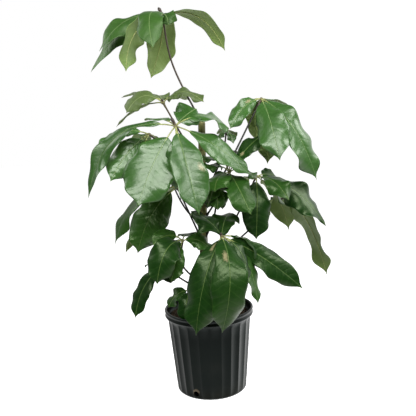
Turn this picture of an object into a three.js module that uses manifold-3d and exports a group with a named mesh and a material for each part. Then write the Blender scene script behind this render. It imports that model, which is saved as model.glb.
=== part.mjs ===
// A potted umbrella plant: a fluted nursery pot filled with soil, a short woody trunk, and long-stalked
// compound leaves whose big drooping leaflets spread like umbrella ribs round a hub.
// Millimetres, +Z up. The origin is the centre of the pot's flat underside, and -Y is the viewer's side.
import * as THREE from "three";
import { mergeVertices } from "three/addons/utils/BufferGeometryUtils.js";
import Module from "manifold-3d";

const wasm = await Module();
wasm.setup();

// Clear air between two pieces that touch.
const GAP = 0.3;

// The pot.
const POT_HEIGHT = 245;
const POT_BASE_RADIUS = 103;
const POT_WALL = 2.5;
const POT_FLOOR = 3;
const POT_CORNER = 4;
const RIM_RADIUS = 130;
const RIM_HEIGHT = 22;
const RIM_STEP = 5;
const RIM_WAIST = 11;
const RIM_WAIST_DEPTH = 1.5;
const RIM_BEAD = 4;
const RIM_WIDTH = 7;
const SHOULDER_RADIUS = 122;
const SHOULDER_HEIGHT = 8;
const FLUTES = 24;
const FLUTE_DEPTH = 2.6;
const FLUTE_START = 14;
const DRAIN_RADIUS = 8.5;
const DRAIN_HEIGHT = 16;
const DRAIN_BEARINGS = [243, 3, 123];
const DRAIN_DEPTH = 20;

// The soil.
const SOIL_TOP = 222;
const SOIL_MOUND = 6;
const SOIL_ROUGHNESS = 1.6;
const SOIL_EDGE = 10;
const SOIL_SLACK = 1.2;

// The trunk: its centre line as [x, y, z], its thickness, and its leaf scars.
const TRUNK_FOOT = 150;
const TRUNK_LINE = [
  [0, 0, 150],
  [0, 0, 230],
  [-5, 0, 340],
  [-6, 2, 440],
  [-3, 2, 560],
  [1, 0, 680],
  [4, 0, 790],
];
const TRUNK_FOOT_RADIUS = 14;
const TRUNK_TOP_RADIUS = 10;
const TRUNK_TIP_HEIGHT = 12;
const TRUNK_TIP_SHARE = 0.6;
const TRUNK_SIDES = 10;
const SCAR_HEIGHTS = [270, 345, 420, 500, 580, 650, 735];
const SCAR_SWELL = 1.5;
const SCAR_HALF_HEIGHT = 5;

// Leaf stalks and blades.
const PETIOLE_RADIUS = 3;
const HUB_RADIUS = 6;
const STALK_RADIUS = 1.8;
const STALK_SUNK = 0.05;
const BLADE_THICKNESS = 0.8;
const WIDE_BLADE = 85;
// The blade's outline as [share of its length, share of its greatest half width].
const BLADE_OUTLINE = [[0, 0], [0.14, 0.54], [0.42, 0.94], [0.72, 0.92], [0.9, 0.4], [1, 0]];
// How far along its straight line a leaflet's midrib bulges most, as a share.
const BEND_SHARE = 0.43;
const ARCH = 0.16;
const GUTTER = 0.07;
const WAVE = 0.07;
const WAVE_STEP = 2.4;
const WAVE_SKEW = 1.7;

// Every compound leaf. hub is where its leaflets meet. Its petiole leaves the trunk at height foot and
// passes via. stalk is the length of a leaflet's own stalk. Each leaflet is [bearing, reach, drop, bow,
// sway, width, roll]: its bearing from +X in degrees, how far out and down its tip lies from the hub, how
// far its midrib bulges up and to the left of the straight line, its width, and its roll in degrees. An
// eighth number is the length of that leaflet's own stalk, where it isn't the leaf's.
const LEAVES = {
  leaf_crown: {
    hub: [-90, -20, 1075], foot: 780, via: [-70, -10, 948], stalk: 9,
    leaflets: [
      [262, 130, 105, 42, -14, 70, 0],
      [120, 95, 160, 44, -35, 84, 0],
      [213, 118, 153, 34, -6, 76, 50],
      [195, 175, 95, 34, -10, 58, -35],
      [172, 211, 140, 33, -8, 58, -45],
      [15, 175, 97, 46, 3, 70, -12],
      [100, 140, 115, 40, -10, 60, 0],
      [300, 36, 34, 12, 0, 50, 40, 6],
    ],
  },
  leaf_upper_left: {
    hub: [-100, -20, 840], foot: 650, via: [-45, 0, 732], stalk: 22,
    leaflets: [
      [200, 105, 25, 32, 0, 70, -35],
      [140, 170, -25, 21, -10, 45, 0],
      [170, 140, 60, 21, -10, 50, 0],
      [335, 125, 5, 29, 0, 60, 20],
      [60, 125, -10, 15, 0, 55, 0],
      [100, 140, -25, 11, 0, 55, 0],
    ],
  },
  leaf_centre: {
    hub: [-65, -110, 775], foot: 600, via: [-42, -48, 690], stalk: 38,
    leaflets: [
      [220, 132, 198, 10, -4, 134, -44],
      [297, 118, 223, 18, 0, 104, 10, 26],
      [5, 195, 140, 15, 5, 74, 45],
      [180, 243, 182, 78, -20, 54, -50],
      [38, 72, -44, 6, -6, 92, 34, 14],
      [25, 160, 15, 31, -15, 86, 24],
      [125, 140, -20, 11, 0, 60, 0],
      [262, 40, 165, 26, 8, 62, 0],
    ],
  },
  leaf_left: {
    hub: [-145, -10, 755], foot: 600, via: [-70, 0, 690], stalk: 25,
    leaflets: [
      [217, 131, 121, 16, 5, 76, -57],
      [199, 150, 35, 27, 5, 40, -44],
      [250, 85, 150, 23, 0, 70, 0],
      [115, 155, 80, 28, 0, 70, 0],
      [60, 110, 100, 23, 0, 60, 0],
    ],
  },
  leaf_young: {
    hub: [75, 60, 755], foot: 560, via: [62, 40, 690], stalk: 8,
    leaflets: [
      [300, 35, 38, 9, 0, 26, 0],
      [235, 35, 22, 8, 0, 22, 0],
      [130, 40, 10, 8, 0, 26, 0],
      [40, 40, 20, 8, 0, 26, 0],
    ],
  },
  leaf_upper_right: {
    hub: [175, 10, 840], foot: 530, via: [62, -26, 640], stalk: 18,
    leaflets: [
      [205, 102, 80, 20, 8, 62, -50],
      [100, 70, 120, 44, -5, 60, 0],
      [283, 138, 168, 26, -5, 84, 22],
      [331, 158, 229, 42, -40, 80, 44],
      [165, 95, 75, 27, 0, 60, 0],
      [75, 80, 190, 48, 0, 75, 0],
      [40, 140, 130, 43, 10, 70, 0],
    ],
  },
  leaf_middle_right: {
    hub: [75, -30, 640], foot: 500, via: [35, -15, 560], stalk: 28,
    leaflets: [
      [194, 79, -41, 22, 0, 54, -20],
      [215, 85, -18, 14, 0, 48, -20],
      [246, 108, 42, 11, -10, 74, -8, 14],
      [294, 121, 106, 20, -10, 88, 2, 16],
      [340, 80, 20, 19, 0, 55, 0],
      [82, 140, -55, 9, 0, 55, 0],
      [34, 122, -98, 10, -4, 46, 40],
    ],
  },
  leaf_right: {
    hub: [155, 20, 620], foot: 390, via: [75, 10, 480], stalk: 20,
    leaflets: [
      [312, 120, 62, 20, 0, 64, 15],
      [349, 195, 148, 30, 8, 84, 45],
      [28, 112, 175, 27, 5, 75, 0],
      [259, 60, 174, 24, 5, 84, -25],
      [125, 110, 50, 15, 0, 70, 0],
      [30, 70, -14, 14, 0, 56, 55],
    ],
  },
  leaf_far_right: {
    hub: [250, 115, 548], foot: 365, via: [100, 60, 430], stalk: 40,
    leaflets: [
      [30, 165, 282, 40, 20, 92, 0],
      [60, 120, 80, 23, 0, 70, 0],
      [100, 100, 60, 20, 0, 60, 0],
      [140, 80, 80, 25, 0, 60, 0],
    ],
  },
  leaf_front: {
    hub: [45, -90, 470], foot: 330, via: [20, -50, 400], stalk: 25,
    leaflets: [
      [225, 115, 250, 37, 15, 102, -20, 12],
      [262, 86, 244, 72, 30, 94, -14, 10],
      [345, 95, 190, 22, 20, 58, 30],
      [325, 80, 115, 23, 5, 54, 0],
      [5, 225, 165, 12, 8, 72, 72],
      [146, 100, -66, 12, 0, 92, 0, 2],
      [72, 90, -52, 15, 0, 72, 0, 2],
      [18, 135, 135, 42, 4, 62, 15],
      [35, 125, 55, 14, 0, 60, 0],
    ],
  },
  leaf_lower_left: {
    hub: [-65, -50, 455], foot: 300, via: [-70, -40, 385], stalk: 22,
    leaflets: [
      [230, 110, 100, 48, 15, 86, -28],
      [207, 90, 0, 21, 0, 48, -45],
      [0, 84, 36, 17, 0, 50, 42, 8],
      [235, 60, 105, 17, 10, 50, -25],
      [80, 110, 10, 15, 0, 60, 0],
      [130, 95, 50, 15, 0, 55, 0],
    ],
  },
  leaf_low_left: {
    hub: [-130, 0, 370], foot: 285, via: [-60, 0, 320], stalk: 20,
    leaflets: [
      [200, 90, 142, 16, -14, 62, -34],
      [295, 65, 35, 11, 0, 45, 0],
      [30, 65, 35, 11, 0, 45, 0],
      [115, 110, 20, 15, 0, 55, 0],
    ],
  },
  leaf_behind_left: {
    hub: [-75, 10, 600], foot: 430, via: [-38, 5, 510], stalk: 25,
    leaflets: [
      [198, 127, 180, 28, 18, 106, -60],
      [175, 195, 165, 53, -15, 80, -30],
      [160, 182, 200, 27, -15, 60, 0],
      [0, 58, 76, 18, 0, 32, 40],
      [60, 100, 50, 15, 0, 65, 0],
      [130, 120, 90, 27, 0, 70, 0],
    ],
  },
  leaf_behind_middle: {
    hub: [42, -28, 606], foot: 440, via: [27, -20, 514], stalk: 12,
    leaflets: [
      [265, 48, 66, 15, 0, 40, 0],
      [285, 34, 66, 18, 0, 34, 0],
      [225, 48, 62, 12, 5, 42, 0],
      [245, 60, 40, 12, 0, 44, 0],
    ],
  },
  leaf_at_rim: {
    hub: [-50, -50, 310], foot: 260, via: [-28, -28, 285], stalk: 10,
    leaflets: [
      [190, 65, 45, 15, 0, 55, -25],
      [255, 45, 66, 24, 0, 56, 0],
      [345, 40, 35, 9, 0, 35, 0],
      [75, 60, 20, 11, 0, 40, 0],
    ],
  },
  leaf_back: {
    hub: [-120, 170, 655], foot: 480, via: [-62, 80, 535], stalk: 25,
    leaflets: [
      [195, 85, 105, 27, 0, 70, 0],
      [340, 50, 110, 23, 0, 65, 0],
      [125, 110, 85, 27, 0, 75, 0],
      [60, 95, 105, 31, 0, 75, 0],
      [90, 120, 60, 29, 0, 75, 0],
    ],
  },
  leaf_back_low: {
    hub: [30, 120, 380], foot: 270, via: [12, 60, 320], stalk: 22,
    leaflets: [
      [180, 60, 90, 23, 0, 55, 0],
      [350, 60, 90, 23, 0, 60, 0],
      [115, 100, 100, 27, 0, 70, 0],
      [65, 100, 100, 27, 0, 70, 0],
    ],
  },
};

const MATERIALS = {
  pot: new THREE.MeshStandardMaterial({ color: 0x17191a, roughness: 0.45, metalness: 0 }),
  soil: new THREE.MeshStandardMaterial({ color: 0x3b2a1e, roughness: 0.95, metalness: 0 }),
  bark: new THREE.MeshStandardMaterial({ color: 0x6f6a3c, roughness: 0.7, metalness: 0 }),
  leaf: new THREE.MeshStandardMaterial({ color: 0x2c5a24, roughness: 0.35, metalness: 0 }),
};

// A closed geometry as a solid, and a solid as a geometry.
function toSolid(geometry) {
  const bare = geometry.clone();
  bare.deleteAttribute("normal");
  bare.deleteAttribute("uv");
  const merged = mergeVertices(bare, 1e-3);
  return new wasm.Manifold(
    new wasm.Mesh({
      numProp: 3,
      vertProperties: merged.attributes.position.array,
      triVerts: new Uint32Array(merged.index.array),
    }),
  );
}

function toGeometry(solid) {
  const mesh = solid.getMesh();
  const geometry = new THREE.BufferGeometry();
  geometry.setAttribute("position", new THREE.BufferAttribute(mesh.vertProperties, 3));
  geometry.setIndex(new THREE.BufferAttribute(mesh.triVerts, 1));
  return geometry;
}

// A turned body about +Z from [radius, height] points that run up the outside from the axis to the axis.
function turned(profile, sides) {
  const points = profile.map(([radius, height]) => new THREE.Vector2(radius, height));
  return new THREE.LatheGeometry(points, sides).rotateX(Math.PI / 2);
}

// A tube of few sides along a curve, with closed ends.
function tube(curve, radius, sides, steps) {
  const section = new THREE.Shape();
  for (let i = 0; i < sides; i++) {
    const angle = (2 * Math.PI * i) / sides;
    const x = radius * Math.cos(angle);
    const y = radius * Math.sin(angle);
    if (i === 0) section.moveTo(x, y);
    else section.lineTo(x, y);
  }
  section.closePath();
  return new THREE.ExtrudeGeometry(section, { steps, bevelEnabled: false, extrudePath: curve });
}

// The pot: a turned shell whose side is pressed into flutes, with drain holes cut at its lower corner.
// The inner wall runs plain and clear of the flutes.
function pot() {
  const rimFoot = POT_HEIGHT - RIM_HEIGHT;
  const inside = POT_BASE_RADIUS - POT_WALL;
  const profile = [
    [0, 0],
    [POT_BASE_RADIUS - POT_CORNER, 0],
    [POT_BASE_RADIUS, POT_CORNER],
    [POT_BASE_RADIUS + 1, FLUTE_START],
    [SHOULDER_RADIUS, rimFoot - SHOULDER_HEIGHT],
    [SHOULDER_RADIUS + 0.5, rimFoot],
    [RIM_RADIUS - RIM_BEAD / 2, rimFoot + 0.5],
    [RIM_RADIUS, rimFoot + RIM_STEP],
    [RIM_RADIUS - RIM_WAIST_DEPTH, rimFoot + RIM_WAIST],
    [RIM_RADIUS, POT_HEIGHT - RIM_BEAD],
    [RIM_RADIUS - RIM_BEAD / 2, POT_HEIGHT],
    [RIM_RADIUS - RIM_WIDTH + 1, POT_HEIGHT - 1],
    [RIM_RADIUS - RIM_WIDTH, POT_HEIGHT - RIM_BEAD],
    [SHOULDER_RADIUS - FLUTE_DEPTH - POT_WALL, rimFoot],
    [inside - FLUTE_DEPTH, POT_FLOOR],
    [0, POT_FLOOR],
  ];
  const geometry = turned(profile, FLUTES * 2);
  const position = geometry.attributes.position;
  for (let i = 0; i < position.count; i++) {
    const x = position.getX(i);
    const y = position.getY(i);
    const radius = Math.hypot(x, y);
    const onSide = position.getZ(i) >= FLUTE_START && position.getZ(i) < rimFoot - 1 && radius > inside;
    if (!onSide) continue;
    const groove = Math.round((Math.atan2(y, x) / Math.PI) * FLUTES) % 2 !== 0;
    const scale = groove ? 1 - FLUTE_DEPTH / radius : 1;
    position.setXY(i, x * scale, y * scale);
  }
  let solid = toSolid(geometry);
  for (const bearing of DRAIN_BEARINGS) {
    const drill = new THREE.CylinderGeometry(DRAIN_RADIUS, DRAIN_RADIUS, DRAIN_DEPTH, 16)
      .rotateZ(Math.PI / 2)
      .translate(POT_BASE_RADIUS, 0, DRAIN_HEIGHT)
      .rotateZ(THREE.MathUtils.degToRad(bearing));
    solid = solid.subtract(toSolid(drill));
  }
  return toGeometry(solid);
}

// The soil: it fills the pot up to a low rough mound, with a plain hole for the trunk.
function soil() {
  const wall = POT_WALL + FLUTE_DEPTH + GAP;
  const top = SHOULDER_RADIUS - wall - SOIL_SLACK;
  const hole = TRUNK_FOOT_RADIUS + GAP;
  const profile = [
    [0, POT_FLOOR + GAP],
    [POT_BASE_RADIUS - wall - SOIL_SLACK, POT_FLOOR + GAP],
    [top, SOIL_TOP - SOIL_EDGE],
    [top, SOIL_TOP],
    [top * 0.7, SOIL_TOP + SOIL_MOUND * 0.5],
    [top * 0.4, SOIL_TOP + SOIL_MOUND * 0.8],
    [hole, SOIL_TOP + SOIL_MOUND],
    [hole, TRUNK_FOOT - GAP],
    [0, TRUNK_FOOT - GAP],
  ];
  const geometry = turned(profile, TRUNK_SIDES * 2);
  const position = geometry.attributes.position;
  for (let i = 0; i < position.count; i++) {
    const radius = Math.hypot(position.getX(i), position.getY(i));
    const open = position.getZ(i) > SOIL_TOP - 1 && radius > hole + 1 && radius < top + 1;
    if (!open) continue;
    const angle = Math.atan2(position.getY(i), position.getX(i));
    const lump = Math.sin(3 * angle + radius / 9) + Math.cos(5 * angle - radius / 14);
    position.setZ(i, position.getZ(i) + SOIL_ROUGHNESS * lump);
  }
  return geometry;
}

const trunkCurve = new THREE.CatmullRomCurve3(TRUNK_LINE.map((point) => new THREE.Vector3(...point)));

// The trunk's centre at a height.
function trunkAt(height) {
  let low = 0;
  let high = 1;
  for (let i = 0; i < 30; i++) {
    const middle = (low + high) / 2;
    if (trunkCurve.getPoint(middle).z < height) low = middle;
    else high = middle;
  }
  return trunkCurve.getPoint(low);
}

// The trunk: a tapering stem with a ring at each leaf scar, grown by a clearance where one is asked for.
function trunk(clearance) {
  const topHeight = TRUNK_LINE.at(-1)[2];
  const foot = TRUNK_FOOT_RADIUS;
  const rings = [[foot, TRUNK_FOOT], [foot, TRUNK_LINE[1][2]]];
  for (const height of SCAR_HEIGHTS) {
    const share = (height - SOIL_TOP) / (topHeight - SOIL_TOP);
    const radius = foot + (TRUNK_TOP_RADIUS - foot) * share;
    rings.push([radius - SCAR_SWELL / 3, height - SCAR_HALF_HEIGHT]);
    rings.push([radius + SCAR_SWELL, height]);
    rings.push([radius - SCAR_SWELL / 3, height + SCAR_HALF_HEIGHT]);
  }
  rings.push([TRUNK_TOP_RADIUS, topHeight - TRUNK_TIP_HEIGHT]);
  rings.push([TRUNK_TOP_RADIUS * TRUNK_TIP_SHARE, topHeight]);
  const grown = rings.map(([radius, height]) => [radius + clearance, height]);
  const profile = [[0, TRUNK_FOOT], ...grown, [0, topHeight + clearance]];
  const geometry = turned(profile, TRUNK_SIDES);
  const position = geometry.attributes.position;
  for (let i = 0; i < position.count; i++) {
    const centre = trunkAt(Math.min(position.getZ(i), topHeight));
    position.setXY(i, position.getX(i) + centre.x, position.getY(i) + centre.y);
  }
  return geometry;
}

// A leaflet's midrib from its hub to its tip, and the direction to its left.
function midrib(hub, [bearing, reach, drop, bow, sway]) {
  const angle = THREE.MathUtils.degToRad(bearing);
  const out = new THREE.Vector3(Math.cos(angle), Math.sin(angle), 0);
  const left = new THREE.Vector3(-Math.sin(angle), Math.cos(angle), 0);
  const chord = out.multiplyScalar(reach).setZ(-drop);
  const up = chord.clone().cross(left).normalize();
  const tip = hub.clone().add(chord);
  const bend = hub.clone().addScaledVector(chord, BEND_SHARE);
  bend.addScaledVector(up, 2 * bow).addScaledVector(left, 2 * sway);
  return { curve: new THREE.QuadraticBezierCurve3(hub, bend, tip), left };
}

// A leaflet's blade: a thin plate along its midrib from share start on, arched across, with a gutter
// over the midrib and waved edges. Both faces are split into triangles alike.
function blade(rib, start, width, roll, phase) {
  const across = width >= WIDE_BLADE ? [-1, -0.5, 0, 0.5, 1] : [-1, 0, 1];
  const rows = BLADE_OUTLINE.map(([along, half], row) => {
    const share = start + (1 - start) * along;
    const centre = rib.curve.getPointAt(share);
    const forward = rib.curve.getTangentAt(share);
    const level = rib.left.clone().addScaledVector(forward, -rib.left.dot(forward)).normalize();
    const side = level.applyAxisAngle(forward, THREE.MathUtils.degToRad(roll));
    const normal = forward.clone().cross(side);
    const reach = (width / 2) * half;
    return (half === 0 ? [0] : across).map((v) => {
      const ripple = Math.sin(phase + WAVE_STEP * row + WAVE_SKEW * Math.sign(v));
      const wave = WAVE * width * v * v * half * ripple;
      const rise = GUTTER * width * half * Math.abs(v) - ARCH * width * half * v * v + wave;
      const point = centre.clone().addScaledVector(side, v * reach).addScaledVector(normal, rise);
      return { point, normal };
    });
  });
  const points = [];
  const faces = [];
  const index = rows.map((row) =>
    row.map(({ point, normal }) => {
      points.push(...point.clone().addScaledVector(normal, BLADE_THICKNESS / 2).toArray());
      points.push(...point.clone().addScaledVector(normal, -BLADE_THICKNESS / 2).toArray());
      return points.length / 6 - 1;
    }),
  );
  const both = (a, b, c) => {
    faces.push(2 * a, 2 * c, 2 * b);
    faces.push(2 * a + 1, 2 * b + 1, 2 * c + 1);
  };
  for (let row = 0; row + 1 < index.length; row++) {
    const near = index[row];
    const far = index[row + 1];
    for (let i = 0; i + 1 < Math.max(near.length, far.length); i++) {
      if (near.length === 1) both(near[0], far[i + 1], far[i]);
      else if (far.length === 1) both(near[i], near[i + 1], far[0]);
      else {
        both(near[i], near[i + 1], far[i]);
        both(near[i + 1], far[i + 1], far[i]);
      }
    }
  }
  const edge = [...index.map((row) => row[0]), ...index.slice(1, -1).reverse().map((row) => row.at(-1))];
  edge.forEach((a, i) => {
    const b = edge[(i + 1) % edge.length];
    faces.push(2 * a, 2 * b + 1, 2 * b, 2 * a, 2 * a + 1, 2 * b + 1);
  });
  const geometry = new THREE.BufferGeometry();
  geometry.setAttribute("position", new THREE.Float32BufferAttribute(points, 3));
  geometry.setIndex(faces);
  return geometry;
}

// A compound leaf: its petiole from the trunk, the swollen hub and every leaflet, grown as one body.
function leaf({ hub, foot, via, stalk, leaflets }, clearOfTrunk) {
  const centre = new THREE.Vector3(...hub);
  const path = new THREE.CatmullRomCurve3([trunkAt(foot), new THREE.Vector3(...via), centre]);
  const petiole = toSolid(tube(path, PETIOLE_RADIUS, 5, 6)).subtract(clearOfTrunk);
  const pieces = [petiole, toSolid(new THREE.IcosahedronGeometry(HUB_RADIUS, 0).translate(...hub))];
  leaflets.forEach((leaflet, i) => {
    const rib = midrib(centre, leaflet);
    const [width, roll, ownStalk = stalk] = leaflet.slice(5);
    const start = ownStalk / rib.curve.getLength();
    const sunk = start + STALK_SUNK;
    const middle = rib.curve.getPointAt(sunk / 2);
    const stem = new THREE.QuadraticBezierCurve3(centre, middle, rib.curve.getPointAt(sunk));
    pieces.push(toSolid(tube(stem, STALK_RADIUS, 3, 2)));
    pieces.push(toSolid(blade(rib, start, width, roll, i)));
  });
  return toGeometry(wasm.Manifold.union(pieces));
}

const plant = new THREE.Group();

function add(name, geometry, material) {
  const mesh = new THREE.Mesh(geometry, material);
  mesh.name = name;
  plant.add(mesh);
}

add("pot", pot(), MATERIALS.pot);
add("soil", soil(), MATERIALS.soil);
add("trunk", trunk(0), MATERIALS.bark);
const clearOfTrunk = toSolid(trunk(GAP));
for (const [name, shape] of Object.entries(LEAVES)) {
  add(name, leaf(shape, clearOfTrunk), MATERIALS.leaf);
}

export default plant;
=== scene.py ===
from math import cos, hypot, pi, radians, sin
from random import Random

import bmesh
import bpy
import numpy as np
from mathutils import Matrix, Vector, noise


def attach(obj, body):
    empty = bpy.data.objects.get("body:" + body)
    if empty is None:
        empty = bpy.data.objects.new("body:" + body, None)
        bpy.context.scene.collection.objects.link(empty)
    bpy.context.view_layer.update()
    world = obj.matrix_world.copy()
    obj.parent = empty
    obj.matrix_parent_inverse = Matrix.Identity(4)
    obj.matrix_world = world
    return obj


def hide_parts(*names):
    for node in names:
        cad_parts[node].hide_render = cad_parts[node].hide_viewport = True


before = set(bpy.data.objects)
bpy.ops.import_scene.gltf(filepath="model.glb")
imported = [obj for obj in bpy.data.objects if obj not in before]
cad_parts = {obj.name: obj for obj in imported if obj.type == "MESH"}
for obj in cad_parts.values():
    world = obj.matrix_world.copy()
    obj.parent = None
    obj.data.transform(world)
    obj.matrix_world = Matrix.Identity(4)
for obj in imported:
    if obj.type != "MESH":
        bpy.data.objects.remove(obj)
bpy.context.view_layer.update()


# The pot. A nursery pot moulded in black polypropylene: a tapered wall pressed into scalloped flutes
# with sharp ridges that stiffen it, a rim rolled into two beads for lifting, and drain holes round the
# foot, each in a stain of dried earth. Lengths are in metres, and bearings in degrees from +X.
POT_BASE_RADIUS = 0.103
RIM_FOOT = 0.223
# The outer wall's radius at its foot, how much wider it is at the rim, and how far in it still counts.
WALL_FOOT_RADIUS = 0.1022
WALL_FLARE = 0.0205
WALL_DEPTH = 0.004
FLUTES = 24
FLUTE_DEPTH = 0.0032
FLUTE_ROUNDNESS = 0.9
FLUTE_FOOT = 0.004
FLUTE_FADE_IN = 0.012
FLUTE_TOP = 0.2195
FLUTE_FADE_OUT = 0.008
STEPS_PER_FLUTE = 20
DRAIN_RADIUS = 0.0085
DRAIN_HEIGHT = 0.016
DRAIN_BEARINGS = (243, 3, 123)
DRILL_LENGTH = 0.02
STAIN_HEIGHT = 0.021
STAIN_RADIUS = 0.020
STAIN_CORE = 0.006
POT_BLACK = (0.0022, 0.0040, 0.0032, 1)
POT_DUST = (0.060, 0.056, 0.044, 1)
STAIN_BROWN = (0.20, 0.155, 0.10, 1)
# Corners that lie closer together than this are one.
WELD = 1e-6
# The wall's section as radius and height, from the middle of the underside, up the outside, over the
# rim and down the inside to the middle of the floor.
POT_PROFILE = (
    (0, 0.0016), (0.088, 0.0016), (0.0905, 0.0012), (0.0925, 0), (0.0965, 0), (0.1, 0.0008),
    (0.1025, 0.003), (0.1032, 0.006), (0.1036, 0.010), (0.1041, 0.0135), (0.106, 0.035), (0.110, 0.080),
    (0.1145, 0.130), (0.119, 0.180), (0.1215, 0.209), (0.1222, 0.2155), (0.1226, 0.2205),
    (0.1238, 0.2228), (0.1268, 0.2235), (0.1288, 0.2248), (0.1297, 0.2270), (0.1293, 0.2293),
    (0.1276, 0.2312), (0.1270, 0.2335), (0.1276, 0.2358), (0.1290, 0.2378), (0.13, 0.2402),
    (0.1299, 0.2428), (0.1286, 0.2446), (0.1266, 0.245), (0.1248, 0.2441), (0.1239, 0.2422),
    (0.1234, 0.238), (0.1226, 0.230), (0.1196, 0.2225), (0.1174, 0.2205), (0.1150, 0.195),
    (0.1075, 0.110), (0.0982, 0.008), (0.0962, 0.0036), (0.094, 0.003), (0, 0.003),
)


def finished(name, mesh, looks, nodes=()):
    """One smooth piece on the root body, with its materials and the nodes it stands for."""
    data = bpy.data.meshes.new(name)
    mesh.to_mesh(data)
    mesh.free()
    for look in looks:
        data.materials.append(look)
    data.shade_smooth()
    piece = bpy.data.objects.new(name, data)
    bpy.context.scene.collection.objects.link(piece)
    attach(piece, "root")
    if nodes:
        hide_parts(*nodes)
    return piece


def fitted(piece):
    """Works the piece's modifiers into its mesh."""
    evaluated = piece.evaluated_get(bpy.context.evaluated_depsgraph_get())
    data = bpy.data.meshes.new_from_object(evaluated)
    piece.modifiers.clear()
    piece.data = data


def finish_of(name, **sockets):
    """A material with one Principled shader whose plain values are set on its own sockets."""
    finish = bpy.data.materials.new(name)
    finish.use_nodes = True
    shader = finish.node_tree.nodes["Principled BSDF"]
    for socket, value in sockets.items():
        shader.inputs[socket.replace("_", " ")].default_value = value
    return finish


def wire(finish, kind, inputs, **settings):
    """A shader node of that kind, each input given a value or joined to a socket."""
    made = finish.node_tree.nodes.new("ShaderNode" + kind)
    for name, value in settings.items():
        setattr(made, name, value)
    for name, value in inputs.items():
        if isinstance(value, bpy.types.NodeSocket):
            finish.node_tree.links.new(value, made.inputs[name])
        else:
            made.inputs[name].default_value = value
    return made


def sums(finish, operation, *values):
    """The result of one Math node."""
    return wire(finish, "Math", dict(enumerate(values)), operation=operation).outputs[0]


def blended(finish, share, low, high):
    """A colour between low and high."""
    return wire(finish, "Mix", {0: share, 6: low, 7: high}, data_type="RGBA").outputs[2]


def ranged(finish, value, low, high, start=0.0, end=1.0, smooth=True):
    """value from low to high brought to the range from start to end."""
    kind = "SMOOTHSTEP" if smooth else "LINEAR"
    inputs = {"Value": value, "From Min": low, "From Max": high, "To Min": start, "To Max": end}
    return wire(finish, "MapRange", inputs, interpolation_type=kind).outputs["Result"]


def place_of(finish, stretch=(1, 1, 1)):
    """Object coordinates, stretched for a grain that runs one way."""
    spot = wire(finish, "TexCoord", {}).outputs["Object"]
    return wire(finish, "Mapping", {"Vector": spot, "Scale": stretch}).outputs["Vector"]


def speckle(finish, place, scale, detail=3.0, rough=0.5):
    """A noise value at a scale per metre."""
    inputs = {"Vector": place, "Scale": scale, "Detail": detail, "Roughness": rough}
    return wire(finish, "TexNoise", inputs).outputs["Fac"]


def worn(finish, colour, roughness, height, depth):
    """Joins colour, roughness and a relief of that depth to the finish's shader."""
    shader = finish.node_tree.nodes["Principled BSDF"]
    join = finish.node_tree.links.new
    join(colour, shader.inputs["Base Color"])
    join(roughness, shader.inputs["Roughness"])
    bump = wire(finish, "Bump", {"Strength": 1.0, "Distance": depth, "Height": height})
    join(bump.outputs["Normal"], shader.inputs["Normal"])
    return finish


plastic = finish_of("black_polypropylene", Specular_IOR_Level=0.26, Specular_Tint=(0.86, 1.0, 0.96, 1))
on_pot = place_of(plastic)
film = ranged(plastic, speckle(plastic, on_pot, 16, 4), 0.42, 0.72)
near_floor = ranged(plastic, wire(plastic, "SeparateXYZ", {"Vector": on_pot}).outputs["Z"], 0.05, 0.004)
splash = sums(plastic, "MULTIPLY", near_floor, speckle(plastic, on_pot, 55, 5, 0.7))
dust = sums(plastic, "ADD", sums(plastic, "MULTIPLY", film, 0.06), sums(plastic, "MULTIPLY", splash, 0.28))
black = blended(plastic, dust, POT_BLACK, POT_DUST)
crust = speckle(plastic, on_pot, 260, 4, 0.7)
for bearing in DRAIN_BEARINGS:
    stain = (POT_BASE_RADIUS * cos(radians(bearing)), POT_BASE_RADIUS * sin(radians(bearing)), STAIN_HEIGHT)
    away = wire(plastic, "VectorMath", {0: on_pot, 1: stain}, operation="DISTANCE").outputs["Value"]
    stained = sums(plastic, "ADD", ranged(plastic, away, STAIN_RADIUS, STAIN_CORE), crust)
    black = blended(plastic, ranged(plastic, stained, 1.1, 1.6, 0, 0.75), black, STAIN_BROWN)
sheen = sums(plastic, "ADD", 0.29, sums(plastic, "MULTIPLY", dust, 0.5))
moulded = sums(plastic, "ADD", speckle(plastic, on_pot, 1400, 2), sums(plastic, "MULTIPLY", film, 0.6))
worn(plastic, black, sheen, moulded, 0.00008)

mesh = bmesh.new()
outline = [mesh.verts.new((radius, 0, height)) for radius, height in POT_PROFILE]
edges = [mesh.edges.new(pair) for pair in zip(outline, outline[1:])]
bmesh.ops.spin(mesh, geom=outline + edges, cent=(0, 0, 0), axis=(0, 0, 1), angle=2 * pi,
               steps=FLUTES * STEPS_PER_FLUTE, use_merge=True)
bmesh.ops.remove_doubles(mesh, verts=mesh.verts, dist=WELD)
bmesh.ops.recalc_face_normals(mesh, faces=mesh.faces)
for corner in mesh.verts:
    radius = hypot(corner.co.x, corner.co.y)
    wall = WALL_FOOT_RADIUS + WALL_FLARE * corner.co.z / RIM_FOOT
    if radius < wall - WALL_DEPTH or not FLUTE_FOOT < corner.co.z < RIM_FOOT:
        continue
    bearing = np.arctan2(corner.co.y, corner.co.x)
    groove = abs(sin(FLUTES * bearing / 2)) ** FLUTE_ROUNDNESS
    fade_in = min(max((corner.co.z - FLUTE_FOOT) / FLUTE_FADE_IN, 0), 1)
    fade_out = min(max((FLUTE_TOP - corner.co.z) / FLUTE_FADE_OUT, 0), 1)
    corner.co.xy *= 1 - FLUTE_DEPTH * groove * fade_in * fade_out / radius
pot = finished("pot_shell", mesh, [plastic], ["pot"])
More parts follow.
